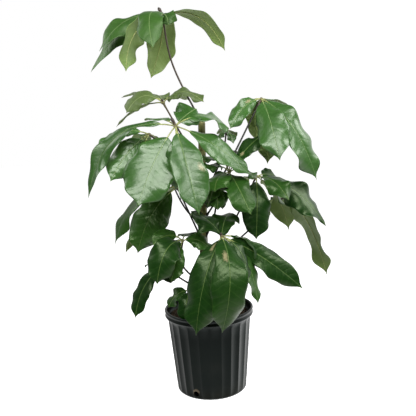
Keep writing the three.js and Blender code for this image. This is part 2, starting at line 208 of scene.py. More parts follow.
for bearing in DRAIN_BEARINGS:
    mesh = bmesh.new()
    turn = Matrix.Rotation(radians(bearing), 4, "Z") @ Matrix.Translation((POT_BASE_RADIUS, 0, DRAIN_HEIGHT))
    turn = turn @ Matrix.Rotation(pi / 2, 4, "Y")
    bmesh.ops.create_cone(mesh, cap_ends=True, segments=32, radius1=DRAIN_RADIUS, radius2=DRAIN_RADIUS,
                          depth=DRILL_LENGTH, matrix=turn)
    drill = bpy.data.objects.new("drill", bpy.data.meshes.new("drill"))
    mesh.to_mesh(drill.data)
    mesh.free()
    bpy.context.scene.collection.objects.link(drill)
    hole = pot.modifiers.new("drain", "BOOLEAN")
    hole.operation = "DIFFERENCE"
    hole.solver = "EXACT"
    hole.object = drill
    fitted(pot)
    bpy.data.objects.remove(drill)
pot.data.set_sharp_from_angle(angle=radians(50))


# The soil. Damp bark and peat mix poured in round the roots to a finger below the rim: a rough dark
# crumbly mound, with loose crumbs and a few pale fibres on top.
SOIL_TOP = 0.222
SOIL_MOUND = 0.006
SOIL_RADIUS = 0.1152
SOIL_FOOT_RADIUS = 0.0962
SOIL_FOOT = 0.0034
# The lumps on top, each as how many to a metre and how high, and the edge where they flatten out.
SOIL_LUMPS = ((28, 0.0022), (95, 0.0016), (260, 0.0008))
SOIL_EDGE = 0.008
# The share of the mesh's rings on top, and the side and underside as share, radius and height.
TOP_RINGS = 0.9
SOIL_SIDE = (
    (0, SOIL_RADIUS, SOIL_TOP), (0.25, SOIL_RADIUS, SOIL_TOP - 0.01),
    (0.7, SOIL_FOOT_RADIUS, SOIL_FOOT), (1, 0, SOIL_FOOT),
)
SOIL_DARK = (0.012, 0.0075, 0.0045, 1)
SOIL_BROWN = (0.075, 0.045, 0.024, 1)
FIBRE_TAN = (0.16, 0.115, 0.07, 1)
CRUMBS = 520
CRUMB_SPREAD = 0.110
CRUMB_SIZES = (0.0012, 0.0032)
CRUMB_LENGTHS = (0.8, 2.2)
CRUMB_HEIGHTS = (0.4, 0.8)

earth = finish_of("potting_mix", Specular_IOR_Level=0.25)
on_soil = place_of(earth)
clods = speckle(earth, on_soil, 90, 6, 0.65)
fibres = speckle(earth, on_soil, 420, 4, 0.6)
brown = blended(earth, ranged(earth, clods, 0.35, 0.68), SOIL_DARK, SOIL_BROWN)
brown = blended(earth, ranged(earth, fibres, 0.62, 0.72), brown, FIBRE_TAN)
worn(earth, brown, ranged(earth, fibres, 0.3, 0.7, 0.98, 0.78), sums(earth, "ADD", clods, fibres), 0.0025)


def wrapped(mesh, around, along, shape):
    """A closed round form from one grid: shape(turn, run) places each corner, both from 0 to 1."""
    made = bmesh.ops.create_grid(mesh, x_segments=around, y_segments=along, size=0.5)["verts"]
    for corner in made:
        corner.co = shape(corner.co.x + 0.5, corner.co.y + 0.5)
    bmesh.ops.remove_doubles(mesh, verts=made, dist=WELD)
    bmesh.ops.recalc_face_normals(mesh, faces=mesh.faces)


def mound_at(radius):
    """The height of the mound of soil at a radius."""
    return SOIL_TOP + SOIL_MOUND * (1 - (radius / SOIL_RADIUS) ** 2)


def soil_at(turn, run):
    """The soil's skin: its lumpy top out to the pot's wall, then its side and underside back in."""
    bearing = 2 * pi * turn
    if run > TOP_RINGS:
        share = (run - TOP_RINGS) / (1 - TOP_RINGS)
        shares, radii, heights = zip(*SOIL_SIDE)
        radius = np.interp(share, shares, radii)
        return Vector((radius * cos(bearing), radius * sin(bearing), np.interp(share, shares, heights)))
    radius = SOIL_RADIUS * run / TOP_RINGS
    spot = Vector((radius * cos(bearing), radius * sin(bearing), 0))
    lumps = sum(noise.noise(spot * pitch) * height for pitch, height in SOIL_LUMPS)
    spot.z = mound_at(radius) + lumps * min(1, (SOIL_RADIUS - radius) / SOIL_EDGE)
    return spot


mesh = bmesh.new()
wrapped(mesh, 200, 80, soil_at)
finished("soil_fill", mesh, [earth], ["soil"])

draw = Random(11)
mesh = bmesh.new()
for _ in range(CRUMBS):
    bearing = draw.uniform(0, 2 * pi)
    radius = CRUMB_SPREAD * draw.random() ** 0.5
    size = draw.uniform(*CRUMB_SIZES)
    seat = Matrix.Translation((radius * cos(bearing), radius * sin(bearing), mound_at(radius) + size * 0.2))
    seat = seat @ Matrix.Rotation(draw.uniform(0, pi), 4, (draw.random(), draw.random(), 1))
    length = size * draw.uniform(*CRUMB_LENGTHS)
    seat = seat @ Matrix.Diagonal((length, size, size * draw.uniform(*CRUMB_HEIGHTS), 1))
    bmesh.ops.create_icosphere(mesh, subdivisions=1, radius=1, matrix=seat)
finished("soil_crumbs", mesh, [earth])


# The trunk. One woody stem, olive-brown and still a little green, with the ring scars of shed leaves
# and pale pores. It is rooted in the soil and carries every leaf.
TRUNK_LINE = (
    (0, 0, 0.150), (0, 0, 0.230), (-0.005, 0, 0.340), (-0.006, 0.002, 0.440), (-0.003, 0.002, 0.560),
    (0.001, 0, 0.680), (0.004, 0, 0.790),
)
TRUNK_FOOT = 0.150
TRUNK_TIP_FOOT = 0.778
TRUNK_TOP = 0.790
TRUNK_FOOT_RADIUS = 0.014
TRUNK_TOP_RADIUS = 0.010
SCAR_HEIGHTS = (0.270, 0.345, 0.420, 0.500, 0.580, 0.650, 0.735)
SCAR_SWELL = 0.0015
SCAR_HALF_HEIGHT = 0.0032
BARK_OLIVE = (0.12, 0.125, 0.035, 1)
BARK_PALE = (0.30, 0.29, 0.11, 1)
BARK_STREAK = (0.05, 0.034, 0.016, 1)
BARK_PORE = (0.30, 0.25, 0.14, 1)


def smooth_line(points, steps):
    """Places along a smooth curve through the points, steps to each stretch between two of them."""
    stops = [Vector(point) for point in points]
    stops = [2 * stops[0] - stops[1], *stops, 2 * stops[-1] - stops[-2]]
    places = []
    for before, start, end, after in zip(stops, stops[1:], stops[2:], stops[3:]):
        gaps = [(b - a).length ** 0.5 for a, b in ((before, start), (start, end), (end, after))]
        leave = (start - before) / gaps[0] - (end - before) / (gaps[0] + gaps[1]) + (end - start) / gaps[1]
        reach = (end - start) / gaps[1] - (after - start) / (gaps[1] + gaps[2]) + (after - end) / gaps[2]
        leave, reach = leave * gaps[1], reach * gaps[1]
        for step in range(steps):
            t = step / steps
            bend = (3 * (end - start) - 2 * leave - reach) * t ** 2
            places.append(start + leave * t + bend + (2 * (start - end) + leave + reach) * t ** 3)
    return np.array([*places, stops[-2]])


def spread(line, shares):
    """Places at shares of a line's length."""
    runs = np.concatenate([[0], np.cumsum(np.linalg.norm(np.diff(line, axis=0), axis=1))])
    marks = np.asarray(shares) * runs[-1]
    return np.stack([np.interp(marks, runs, line[:, axis]) for axis in range(3)], axis=1)


trunk_line = smooth_line(TRUNK_LINE, 24)


def trunk_centre(height):
    """The trunk's centre at a height."""
    across = [np.interp(height, trunk_line[:, 2], trunk_line[:, axis]) for axis in range(2)]
    return Vector((*across, height))


def trunk_radius(height):
    """The trunk's radius at a height, with the swell of each leaf scar and the dip above it."""
    share = min(max((height - SOIL_TOP) / (TRUNK_TOP - SOIL_TOP), 0), 1)
    radius = TRUNK_FOOT_RADIUS + (TRUNK_TOP_RADIUS - TRUNK_FOOT_RADIUS) * share
    for scar in SCAR_HEIGHTS:
        away = (height - scar) / SCAR_HALF_HEIGHT
        radius += SCAR_SWELL * (1.25 * np.exp(-away ** 2) - 0.45 * np.exp(-(away / 2.2 - 1.1) ** 2))
    return radius


def trunk_at(turn, run):
    """The trunk's skin, a little out of round, from its closed foot in the soil to its rounded tip."""
    height = TRUNK_FOOT + (TRUNK_TOP - TRUNK_FOOT) * min(run, 1)
    tip = max((height - TRUNK_TIP_FOOT) / (TRUNK_TOP - TRUNK_TIP_FOOT), 0)
    radius = trunk_radius(height) * max(1 - tip ** 2, 0) ** 0.5 if run > 0 else 0
    bearing = 2 * pi * turn
    radius *= 1 + 0.025 * sin(3 * bearing + 9 * height) + 0.015 * sin(5 * bearing - 21 * height)
    return trunk_centre(height) + Vector((radius * cos(bearing), radius * sin(bearing), 0))


bark = finish_of("olive_bark", Specular_IOR_Level=0.4)
streaks = speckle(bark, place_of(bark, (1, 1, 0.12)), 260, 5, 0.6)
patches = speckle(bark, place_of(bark), 34, 4)
pores = ranged(bark, speckle(bark, place_of(bark, (0.7, 0.7, 1.6)), 420, 1), 0.66, 0.74)
olive = blended(bark, ranged(bark, patches, 0.38, 0.62), BARK_OLIVE, BARK_PALE)
olive = blended(bark, ranged(bark, streaks, 0.42, 0.7, 0, 0.7), olive, BARK_STREAK)
olive = blended(bark, sums(bark, "MULTIPLY", pores, 0.6), olive, BARK_PORE)
relief = sums(bark, "ADD", sums(bark, "MULTIPLY", streaks, 1.4), pores)
worn(bark, olive, ranged(bark, streaks, 0.3, 0.7, 0.42, 0.68), relief, 0.0005)

mesh = bmesh.new()
wrapped(mesh, 36, 420, trunk_at)
finished("trunk_stem", mesh, [bark], ["trunk"])


# The compound leaves. Each grows from the trunk on a long round stalk that ends in a small knuckle,
# where stalked leaflets spread like umbrella ribs: leathery blades, glossy and dark above, pale and
# matt below, with a pale midrib, sunken side veins, waved edges and a short drip tip. The underside is
# painted paler still with light shining through it, and some leaflets carry painted light and shade.
BLADE_THICKNESS = 0.0006
BLADE_ROWS = 44
BLADE_COLUMNS = 20
MIDRIB_STEPS = 120
# Half of a blade's outline, as share of its length and half width as a share of the widest.
BLADE_OUTLINE = (
    (0, 0), (0.02, 0.14), (0.07, 0.36), (0.16, 0.6), (0.29, 0.82), (0.44, 0.96), (0.59, 1),
    (0.72, 0.93), (0.82, 0.74), (0.885, 0.46), (0.93, 0.2), (0.965, 0.07), (1, 0),
)
# Shares of a leaflet's length: where its midrib bends most, where its twist is nil, and where the
# waves of its sides begin and end.
BEND_SHARE = 0.43
TWIST_SHARE = 0.4
WAVE_SHARES = (0, 0.14, 0.42, 0.7, 0.9, 1)
# Shares of a blade's width: how far its sides curl down, how deep it is folded along the midrib, how
# far its sides wave, how far its edges ruffle on top of that, and how far it rocks from side to side.
ARCH = 0.15
GUTTER = 0.08
WAVE = 0.15
RUFFLE = 0.05
ROCKING = 0.014
# How far the margin swings in and out in long and in short swings, as shares of half the width.
LONG_SWING = 0.065
SHORT_SWING = 0.03
# The most that a leaflet twists from base to tip, in degrees, unless TWISTS says otherwise.
USUAL_TWIST = 12
VEIN_SPACING = 0.023
# A scorch mark is this much longer than it is wide.
SCORCH_STRETCH = 1.7
SCORCH_TAN = (0.34, 0.29, 0.16, 1)
STALK_RADIUS = 0.0027
LEAFLET_STALK_RADIUS = 0.0018
STALK_FLECK = (0.03, 0.02, 0.012, 1)
# A main stalk, as share of its length from the trunk and radius as a share of STALK_RADIUS.
STALK_TAPER = ((0, 2.1), (0.05, 1.5), (0.14, 1.05), (0.9, 0.9), (1, 1.35))
STALK_STEPS = 40
# A stalk starts inside the bark, at this share of the trunk's radius from its centre line. Above the
# shoulder, where the trunk rounds off, it starts at the centre line itself.
SEAT_SHARE = 0.55
TRUNK_SHOULDER = 0.775
KNUCKLE_RADIUS = 0.0055
KNUCKLE_FLATNESS = 0.8
KNUCKLE_LUMPS = 0.25
BUD_RADII = ((0, 0.0040), (0.4, 0.0036), (0.8, 0.0052), (1, 0.0018))
# A leaf whose knuckle is lower than this is old and dark, and how light a leaf's green is goes by the
# height of its knuckle.
OLD_LEAF_HEIGHT = 0.65
LIGHTNESS = ((0.3, 0.25), (0.45, 0.25), (0.65, 0.5), (0.8, 0.8), (0.9, 0.7), (1.05, 0.5))
# In millimetres: the knuckle's place, the height where the stalk leaves the trunk, a place that it
# passes, and the length of a leaflet's own stalk. Each leaflet is bearing, reach, drop, bow, sway, width
# and roll: its bearing from +X in degrees, how far out and down its tip lies from the knuckle, how far
# its midrib bulges up and to the left of the straight line, its width, and its roll in degrees.
LEAVES = {
    "leaf_crown": ((-90, -20, 1075), 780, (-70, -10, 948), 9, (
        (262, 130, 105, 42, -14, 70, 0),
        (120, 95, 160, 44, -35, 84, 0),
        (213, 118, 153, 34, -6, 76, 50),
        (195, 175, 95, 34, -10, 58, -35),
        (172, 211, 140, 33, -8, 58, -45),
        (15, 175, 97, 46, 3, 70, -12),
        (100, 140, 115, 40, -10, 60, 0),
        (300, 36, 34, 12, 0, 50, 40),
    )),
    "leaf_upper_left": ((-100, -20, 840), 650, (-45, 0, 732), 22, (
        (200, 105, 25, 32, 0, 70, -35),
        (140, 170, -25, 21, -10, 45, 0),
        (170, 140, 60, 21, -10, 50, 0),
        (335, 125, 5, 29, 0, 60, 20),
        (60, 125, -10, 15, 0, 55, 0),
        (100, 140, -25, 11, 0, 55, 0),
    )),
    "leaf_centre": ((-65, -110, 775), 600, (-42, -48, 690), 38, (
        (220, 132, 198, 10, -4, 134, -44),
        (297, 118, 223, 18, -7, 88, 10),
        (5, 195, 140, 15, 5, 74, 45),
        (180, 243, 182, 78, -20, 46, -50),
        (38, 72, -44, 6, -6, 92, 34),
        (25, 160, 15, 31, -15, 86, 24),
        (125, 140, -20, 11, 0, 60, 0),
        (262, 40, 165, 26, 8, 62, 0),
    )),
    "leaf_left": ((-145, -10, 755), 600, (-70, 0, 690), 25, (
        (217, 131, 121, 16, 5, 76, -57),
        (199, 150, 35, 27, 5, 40, -44),
        (250, 85, 150, 23, 0, 70, 0),
        (115, 155, 80, 28, 0, 70, 0),
        (60, 110, 100, 23, 0, 60, 0),
    )),
    "leaf_young": ((75, 60, 755), 560, (62, 40, 690), 8, (
        (300, 35, 38, 9, 0, 26, 0),
        (235, 35, 22, 8, 0, 22, 0),
        (130, 40, 10, 8, 0, 26, 0),
        (40, 40, 20, 8, 0, 26, 0),
    )),
    "leaf_upper_right": ((175, 10, 840), 530, (62, -26, 640), 18, (
        (205, 102, 80, 20, 8, 52, -50),
        (100, 70, 120, 44, -5, 60, 0),
        (283, 138, 168, 26, -5, 84, 22),
        (331, 158, 229, 42, -40, 80, 44),
        (165, 95, 75, 27, 0, 60, 0),
        (75, 80, 190, 48, 0, 75, 0),
        (40, 140, 130, 43, 10, 70, 0),
    )),
    "leaf_middle_right": ((75, -30, 640), 500, (35, -15, 560), 28, (
        (194, 79, -41, 22, 0, 54, -20),
        (215, 85, -18, 14, 0, 48, -20),
        (246, 108, 42, 11, -10, 74, -8),
        (294, 121, 106, 20, -10, 88, 2),
        (340, 80, 20, 19, 0, 55, 0),
        (82, 140, -55, 9, 0, 55, 0),
        (34, 122, -98, 10, -4, 46, 40),
    )),
    "leaf_right": ((155, 20, 620), 390, (75, 10, 480), 20, (
        (312, 120, 62, 20, 0, 64, 15),
        (349, 195, 148, 30, 8, 84, 38),
        (28, 112, 175, 27, 5, 75, 0),
        (259, 60, 174, 24, 5, 84, -25),
        (125, 110, 50, 15, 0, 70, 0),
        (30, 70, 4, 6, 0, 56, 42),
    )),
    "leaf_far_right": ((250, 115, 548), 365, (100, 60, 430), 40, (
        (30, 165, 282, 40, 20, 92, 0),
        (60, 120, 80, 23, 0, 70, 0),
        (100, 100, 60, 20, 0, 60, 0),
        (140, 80, 80, 25, 0, 60, 0),
    )),
    "leaf_front": ((45, -90, 470), 330, (20, -50, 400), 25, (
        (225, 115, 250, 37, 15, 102, -20),
        (262, 86, 244, 72, 30, 94, -14),
        (345, 95, 190, 22, 20, 58, 30),
        (325, 80, 115, 23, 5, 54, 0),
        (5, 225, 165, 12, 8, 72, 72),
        (146, 100, -66, 12, 0, 92, 0),
        (72, 90, -52, 15, 0, 72, 0),
        (18, 135, 135, 42, 4, 62, 15),
        (35, 125, 55, 14, 0, 60, 0),
    )),
    "leaf_lower_left": ((-65, -50, 455), 300, (-70, -40, 385), 22, (
        (230, 110, 100, 48, 15, 86, -28),
        (207, 90, 0, 21, 0, 48, -60),
        (0, 84, 36, 17, 0, 50, 42),
        (235, 60, 105, 17, 10, 50, -25),
        (80, 110, 10, 15, 0, 60, 0),
        (130, 95, 50, 15, 0, 55, 0),
    )),
    "leaf_low_left": ((-130, 0, 370), 285, (-60, 0, 320), 20, (
        (200, 90, 142, 16, -14, 62, -34),
        (295, 65, 35, 11, 0, 45, 0),
        (30, 65, 35, 11, 0, 45, 0),
        (115, 110, 20, 15, 0, 55, 0),
    )),
    "leaf_behind_left": ((-75, 10, 600), 430, (-38, 5, 510), 25, (
        (198, 127, 180, 28, 18, 106, -60),
        (175, 195, 165, 53, -15, 80, -30),
        (160, 182, 200, 27, -15, 60, 0),
        (0, 58, 76, 18, 0, 32, 40),
        (60, 100, 50, 15, 0, 65, 0),
        (130, 120, 90, 27, 0, 70, 0),
    )),
    "leaf_behind_middle": ((42, -28, 606), 440, (27, -20, 514), 12, (
        (265, 48, 66, 15, 0, 40, 0),
        (285, 34, 66, 18, 0, 34, 0),
        (225, 48, 62, 12, 5, 42, 0),
        (245, 60, 40, 12, 0, 44, 0),
    )),
    "leaf_at_rim": ((-50, -50, 310), 260, (-28, -28, 285), 10, (
        (190, 65, 45, 15, 0, 55, -25),
        (255, 45, 80, 24, 0, 58, 0),
        (345, 40, 35, 9, 0, 35, 0),
        (75, 60, 20, 11, 0, 40, 0),
    )),
    "leaf_back": ((-120, 170, 655), 480, (-62, 80, 535), 25, (
        (195, 85, 105, 27, 0, 70, 0),
        (340, 50, 110, 23, 0, 65, 0),
        (125, 110, 85, 27, 0, 75, 0),
        (60, 95, 105, 31, 0, 75, 0),
        (90, 120, 60, 29, 0, 75, 0),
    )),
    "leaf_back_low": ((30, 120, 380), 270, (12, 60, 320), 22, (
        (180, 60, 90, 23, 0, 55, 0),
        (350, 60, 90, 23, 0, 60, 0),
        (115, 100, 100, 27, 0, 70, 0),
        (65, 100, 100, 27, 0, 70, 0),
    )),
}
# How brown a leaf's main stalk is, where it isn't nearly black.
STALK_BROWN = {"leaf_crown": 0.55, "leaf_upper_left": 0.65}
# How tall a closed bud stands on a leaf's knuckle, in metres.
BUDS = {"leaf_crown": 0.019, "leaf_centre": 0.021, "leaf_front": 0.010, "leaf_upper_left": 0.010}
# The tables from here on go by leaf and then by the leaflet's number in it, and say where one leaflet
# isn't like the rest. First its own stalk, in metres, where that is shorter than its leaf's others.
SHORT_STALKS = {
    "leaf_crown": {7: 0.006},
    "leaf_centre": {1: 0.026, 4: 0.014},
    "leaf_middle_right": {2: 0.014, 3: 0.016},
    "leaf_front": {0: 0.012, 1: 0.010, 5: 0.002, 6: 0.002},
    "leaf_lower_left": {2: 0.008},
}
# How far it turns about its midrib from its base to its tip, in degrees.
TWISTS = {
    "leaf_crown": {2: 70, 3: 10, 5: -30},
    "leaf_centre": {0: 0, 1: 0, 3: -25},
    "leaf_left": {1: 25},
    "leaf_upper_right": {3: -30},
    "leaf_behind_left": {2: 50},
}
# How deep it is folded along its midrib, instead of GUTTER.
FOLDS = {"leaf_centre": {0: 0.05, 1: 0.26, 3: 0.25}}
# How lively its waves are, as a share of the usual: below 1 it lies smoother and flatter.
WAVINESS = {
    "leaf_crown": {2: 0.9, 5: 0.4},
    "leaf_upper_left": {0: 0.9, 1: 0.3, 2: 0.3, 3: 0.8},
    "leaf_centre": {0: 0.45, 1: 0.5, 3: 1.5, 6: 0.3},
    "leaf_left": {0: 1.5},
    "leaf_upper_right": {2: 1.5, 3: 1.6},
    "leaf_right": {1: 1.6, 2: 1.3, 5: 0.5},
    "leaf_front": {4: 1.2},
    "leaf_lower_left": {0: 0.9},
    "leaf_low_left": {0: 0.8},
    "leaf_behind_left": {0: 2.0},
}
# How deeply its surface is quilted between the veins, as a share of the usual, where that isn't the
# same as its waviness.
QUILTING = {
    "leaf_centre": {0: 1.0, 1: 0.7, 2: 0.7, 3: 0.6},
    "leaf_upper_right": {0: 0.6, 2: 0.8, 3: 1.0},
    "leaf_right": {1: 0.5},
    "leaf_front": {3: 0.5},
}
# How much paler it is than the rest of its leaf, or how much deeper green where that is negative:
# partly its own tone, partly painted light, paler where it catches sheen and deeper where it sits in shade.
TONES_AND_PAINTED_LIGHT = {
    "leaf_crown": {1: 0.3, 2: -0.3, 3: 0.2, 4: 0.8, 5: 0.9},
    "leaf_centre": {3: -0.4, 4: -0.15},
    "leaf_left": {0: 0.5, 1: 0.3},
    "leaf_upper_right": {0: 0.6, 1: 0.6, 5: -0.3},
    "leaf_middle_right": {0: 0.4, 1: 0.4, 2: 0.8, 6: -0.3},
    "leaf_right": {0: 0.1, 1: -0.8, 2: 1.1, 3: -0.4, 5: -0.6},
    "leaf_front": {2: 1.1, 3: -0.5, 4: -0.1},
    "leaf_lower_left": {1: 1.3, 2: 0.9, 3: 1.0},
    "leaf_behind_left": {0: 0.6, 1: 0.8},
    "leaf_behind_middle": {0: 1.2, 3: 0.9},
    "leaf_at_rim": {0: 0.3, 1: -0.9},
}
# Its tan scorch mark: share of the blade's length, metres to one side of the midrib, radius in metres.
SCORCHED = {
    "leaf_centre": {1: (0.50, 0.034, 0.014)},
    "leaf_upper_right": {0: (0.22, -0.008, 0.012), 3: (0.28, -0.020, 0.013)},
    "leaf_middle_right": {6: (0.3, 0.0, 0.010)},
    "leaf_front": {0: (0.11, -0.018, 0.017), 1: (0.25, -0.010, 0.019)},
}
NO_SCORCH = (0, 0, 0.0001)
# What each corner of a blade knows: metres along it and across it, how near the edge it is, how light
# its green is, painted light and shade included, how scorched it is and how deeply it is quilted.
BLADE_LAYERS = ("along", "across", "edge", "tone_and_painted_light", "scorch", "quilting")


def leaf_finish(name, dark, light, vein, rib, gloss, relief_sign, **sockets):
    """A blade's surface: two greens, a midrib, side veins two centimetres apart and quilting between."""
    leaf = finish_of(name, **sockets)
    place = place_of(leaf)
    along, across, edge, tone_and_painted_light, scorch, quilting = (
        wire(leaf, "Attribute", {}, attribute_name=layer).outputs["Fac"] for layer in BLADE_LAYERS
    )
    sideways = sums(leaf, "ABSOLUTE", across)
    drift = sums(leaf, "MULTIPLY", sums(leaf, "SUBTRACT", speckle(leaf, place, 22, 2), 0.5), 0.022)
    lean = sums(leaf, "MULTIPLY", sideways, 0.7)
    lane = sums(leaf, "ADD", sums(leaf, "SUBTRACT", along, lean), drift)
    beat = sums(leaf, "FRACT", sums(leaf, "DIVIDE", sums(leaf, "ADD", lane, 1.0), VEIN_SPACING))
    crest = sums(leaf, "MULTIPLY", sums(leaf, "ABSOLUTE", sums(leaf, "SUBTRACT", beat, 0.5)), 2.0)
    veins = ranged(leaf, crest, 0.86, 1.0)
    rib_width = ranged(leaf, along, 0.0, 0.26, 0.0015, 0.0005, smooth=False)
    midrib = ranged(leaf, sums(leaf, "DIVIDE", sideways, rib_width), 1.3, 0.6)
    mottle = speckle(leaf, place, 38, 4, 0.6)
    # Lightness of the green, with each leaflet's painted light and shade carried in its tone.
    share = sums(leaf, "ADD", sums(leaf, "MULTIPLY", mottle, 0.6), tone_and_painted_light)
    green = blended(leaf, ranged(leaf, share, 0.3, 1.3), dark, light)
    green = blended(leaf, sums(leaf, "MULTIPLY", veins, 0.22), green, vein)
    green = blended(leaf, ranged(leaf, edge, 0.955, 1.0, 0, 0.4), green, vein)
    green = blended(leaf, sums(leaf, "MULTIPLY", midrib, 0.7), green, rib)
    ragged = sums(leaf, "MULTIPLY", speckle(leaf, place, 190, 5, 0.75), 1.6)
    burnt = ranged(leaf, sums(leaf, "ADD", scorch, ragged), 1.1, 1.6)
    green = blended(leaf, sums(leaf, "MULTIPLY", burnt, 0.7), green, SCORCH_TAN)
    shine = sums(leaf, "ADD", gloss, sums(leaf, "MULTIPLY", speckle(leaf, place, 60, 3), 0.12))
    quilt = sums(leaf, "MULTIPLY", sums(leaf, "POWER", crest, 2.0), -0.42 * relief_sign)
    swell = sums(leaf, "MULTIPLY", speckle(leaf, place, 42, 3, 0.55), 2.0)
    relief = sums(leaf, "MULTIPLY", sums(leaf, "ADD", quilt, swell), quilting)
    relief = sums(leaf, "ADD", relief, sums(leaf, "MULTIPLY", midrib, -0.8 * relief_sign))
    return worn(leaf, green, shine, relief, 0.0008)


upper_face = leaf_finish(
    "leaf_upper_face", (0.008, 0.040, 0.004, 1), (0.042, 0.118, 0.022, 1), (0.09, 0.18, 0.05, 1),
    (0.16, 0.25, 0.08, 1), 0.27, 1.0, Specular_IOR_Level=0.65, Specular_Tint=(0.93, 1.0, 0.87, 1),
)
old_upper_face = leaf_finish(
    "old_leaf_upper_face", (0.005, 0.028, 0.003, 1), (0.024, 0.078, 0.010, 1), (0.05, 0.12, 0.02, 1),
    (0.11, 0.18, 0.045, 1), 0.29, 1.0, Specular_IOR_Level=0.4, Specular_Tint=(0.80, 1.0, 0.58, 1),
)
new_upper_face = leaf_finish(
    "new_leaf_upper_face", (0.014, 0.046, 0.007, 1), (0.042, 0.112, 0.018, 1), (0.08, 0.17, 0.04, 1),
    (0.15, 0.24, 0.08, 1), 0.40, 1.0, Specular_IOR_Level=0.35, Specular_Tint=(0.90, 1.0, 0.75, 1),
)
olive_upper_face = leaf_finish(
    "olive_leaf_upper_face", (0.034, 0.058, 0.015, 1), (0.080, 0.122, 0.036, 1), (0.13, 0.18, 0.06, 1),
    (0.20, 0.26, 0.09, 1), 0.40, 1.0, Specular_IOR_Level=0.35, Specular_Tint=(0.95, 1.0, 0.80, 1),
)
# The underside's greens are painted paler than its own colour: painted light shining through the leaf from
# above and behind.
under_face_and_painted_backlight = leaf_finish(
    "leaf_under_face", (0.100, 0.162, 0.036, 1), (0.175, 0.255, 0.070, 1), (0.24, 0.32, 0.11, 1),
    (0.38, 0.44, 0.17, 1), 0.48, -1.0, Specular_IOR_Level=0.3,
)
# The leaves whose upper face isn't the usual one for their height.
UPPER_FACES = {"leaf_crown": new_upper_face, "leaf_upper_left": olive_upper_face}

stalk_skin = finish_of("leaf_stalk", Specular_IOR_Level=0.45)
ripe = wire(stalk_skin, "Attribute", {}, attribute_name="ripe").outputs["Fac"]
flecks = speckle(stalk_skin, place_of(stalk_skin), 240, 4)
ripening = wire(stalk_skin, "ValToRGB", {"Fac": ripe})
ripening.color_ramp.elements[0].color = (0.008, 0.009, 0.006, 1)
ripening.color_ramp.elements[1].color = (0.33, 0.37, 0.12, 1)
ripening.color_ramp.elements.new(0.3).color = (0.055, 0.036, 0.024, 1)
ripening.color_ramp.elements.new(0.65).color = (0.20, 0.185, 0.075, 1)
flecked = ranged(stalk_skin, flecks, 0.5, 0.75, 0, 0.5)
flecked = blended(stalk_skin, flecked, ripening.outputs["Color"], STALK_FLECK)
worn(stalk_skin, flecked, ranged(stalk_skin, flecks, 0.3, 0.7, 0.34, 0.55), flecks, 0.0002)

half_widths = smooth_line([(*stop, 0) for stop in BLADE_OUTLINE], 16)
draw = Random(5)


def tube(mesh, line, radii, ripeness, sides=12):
    """A round stalk along a line, closed at both ends."""
    steps = len(line) - 1
    ahead = np.gradient(line, axis=0)
    ahead /= np.linalg.norm(ahead, axis=1)[:, None]
    side = Vector(ahead[0]).orthogonal().normalized()
    rings = []
    for forward in ahead:
        forward = Vector(forward)
        side = (side - forward * side.dot(forward)).normalized()
        rings.append((side.copy(), forward.cross(side)))
    layer = mesh.verts.layers.float["ripe"]
    made = bmesh.ops.create_grid(mesh, x_segments=sides, y_segments=steps + 2, size=0.5)["verts"]
    for corner in made:
        turn = 2 * pi * (corner.co.x + 0.5)
        ring = round((corner.co.y + 0.5) * (steps + 2)) - 1
        row = min(max(ring, 0), steps)
        radius = radii[row] if ring == row else 0
        one, two = rings[row]
        corner.co = Vector(line[row]) + (one * cos(turn) + two * sin(turn)) * radius
        corner[layer] = ripeness[row]
    bmesh.ops.remove_doubles(mesh, verts=made, dist=WELD)


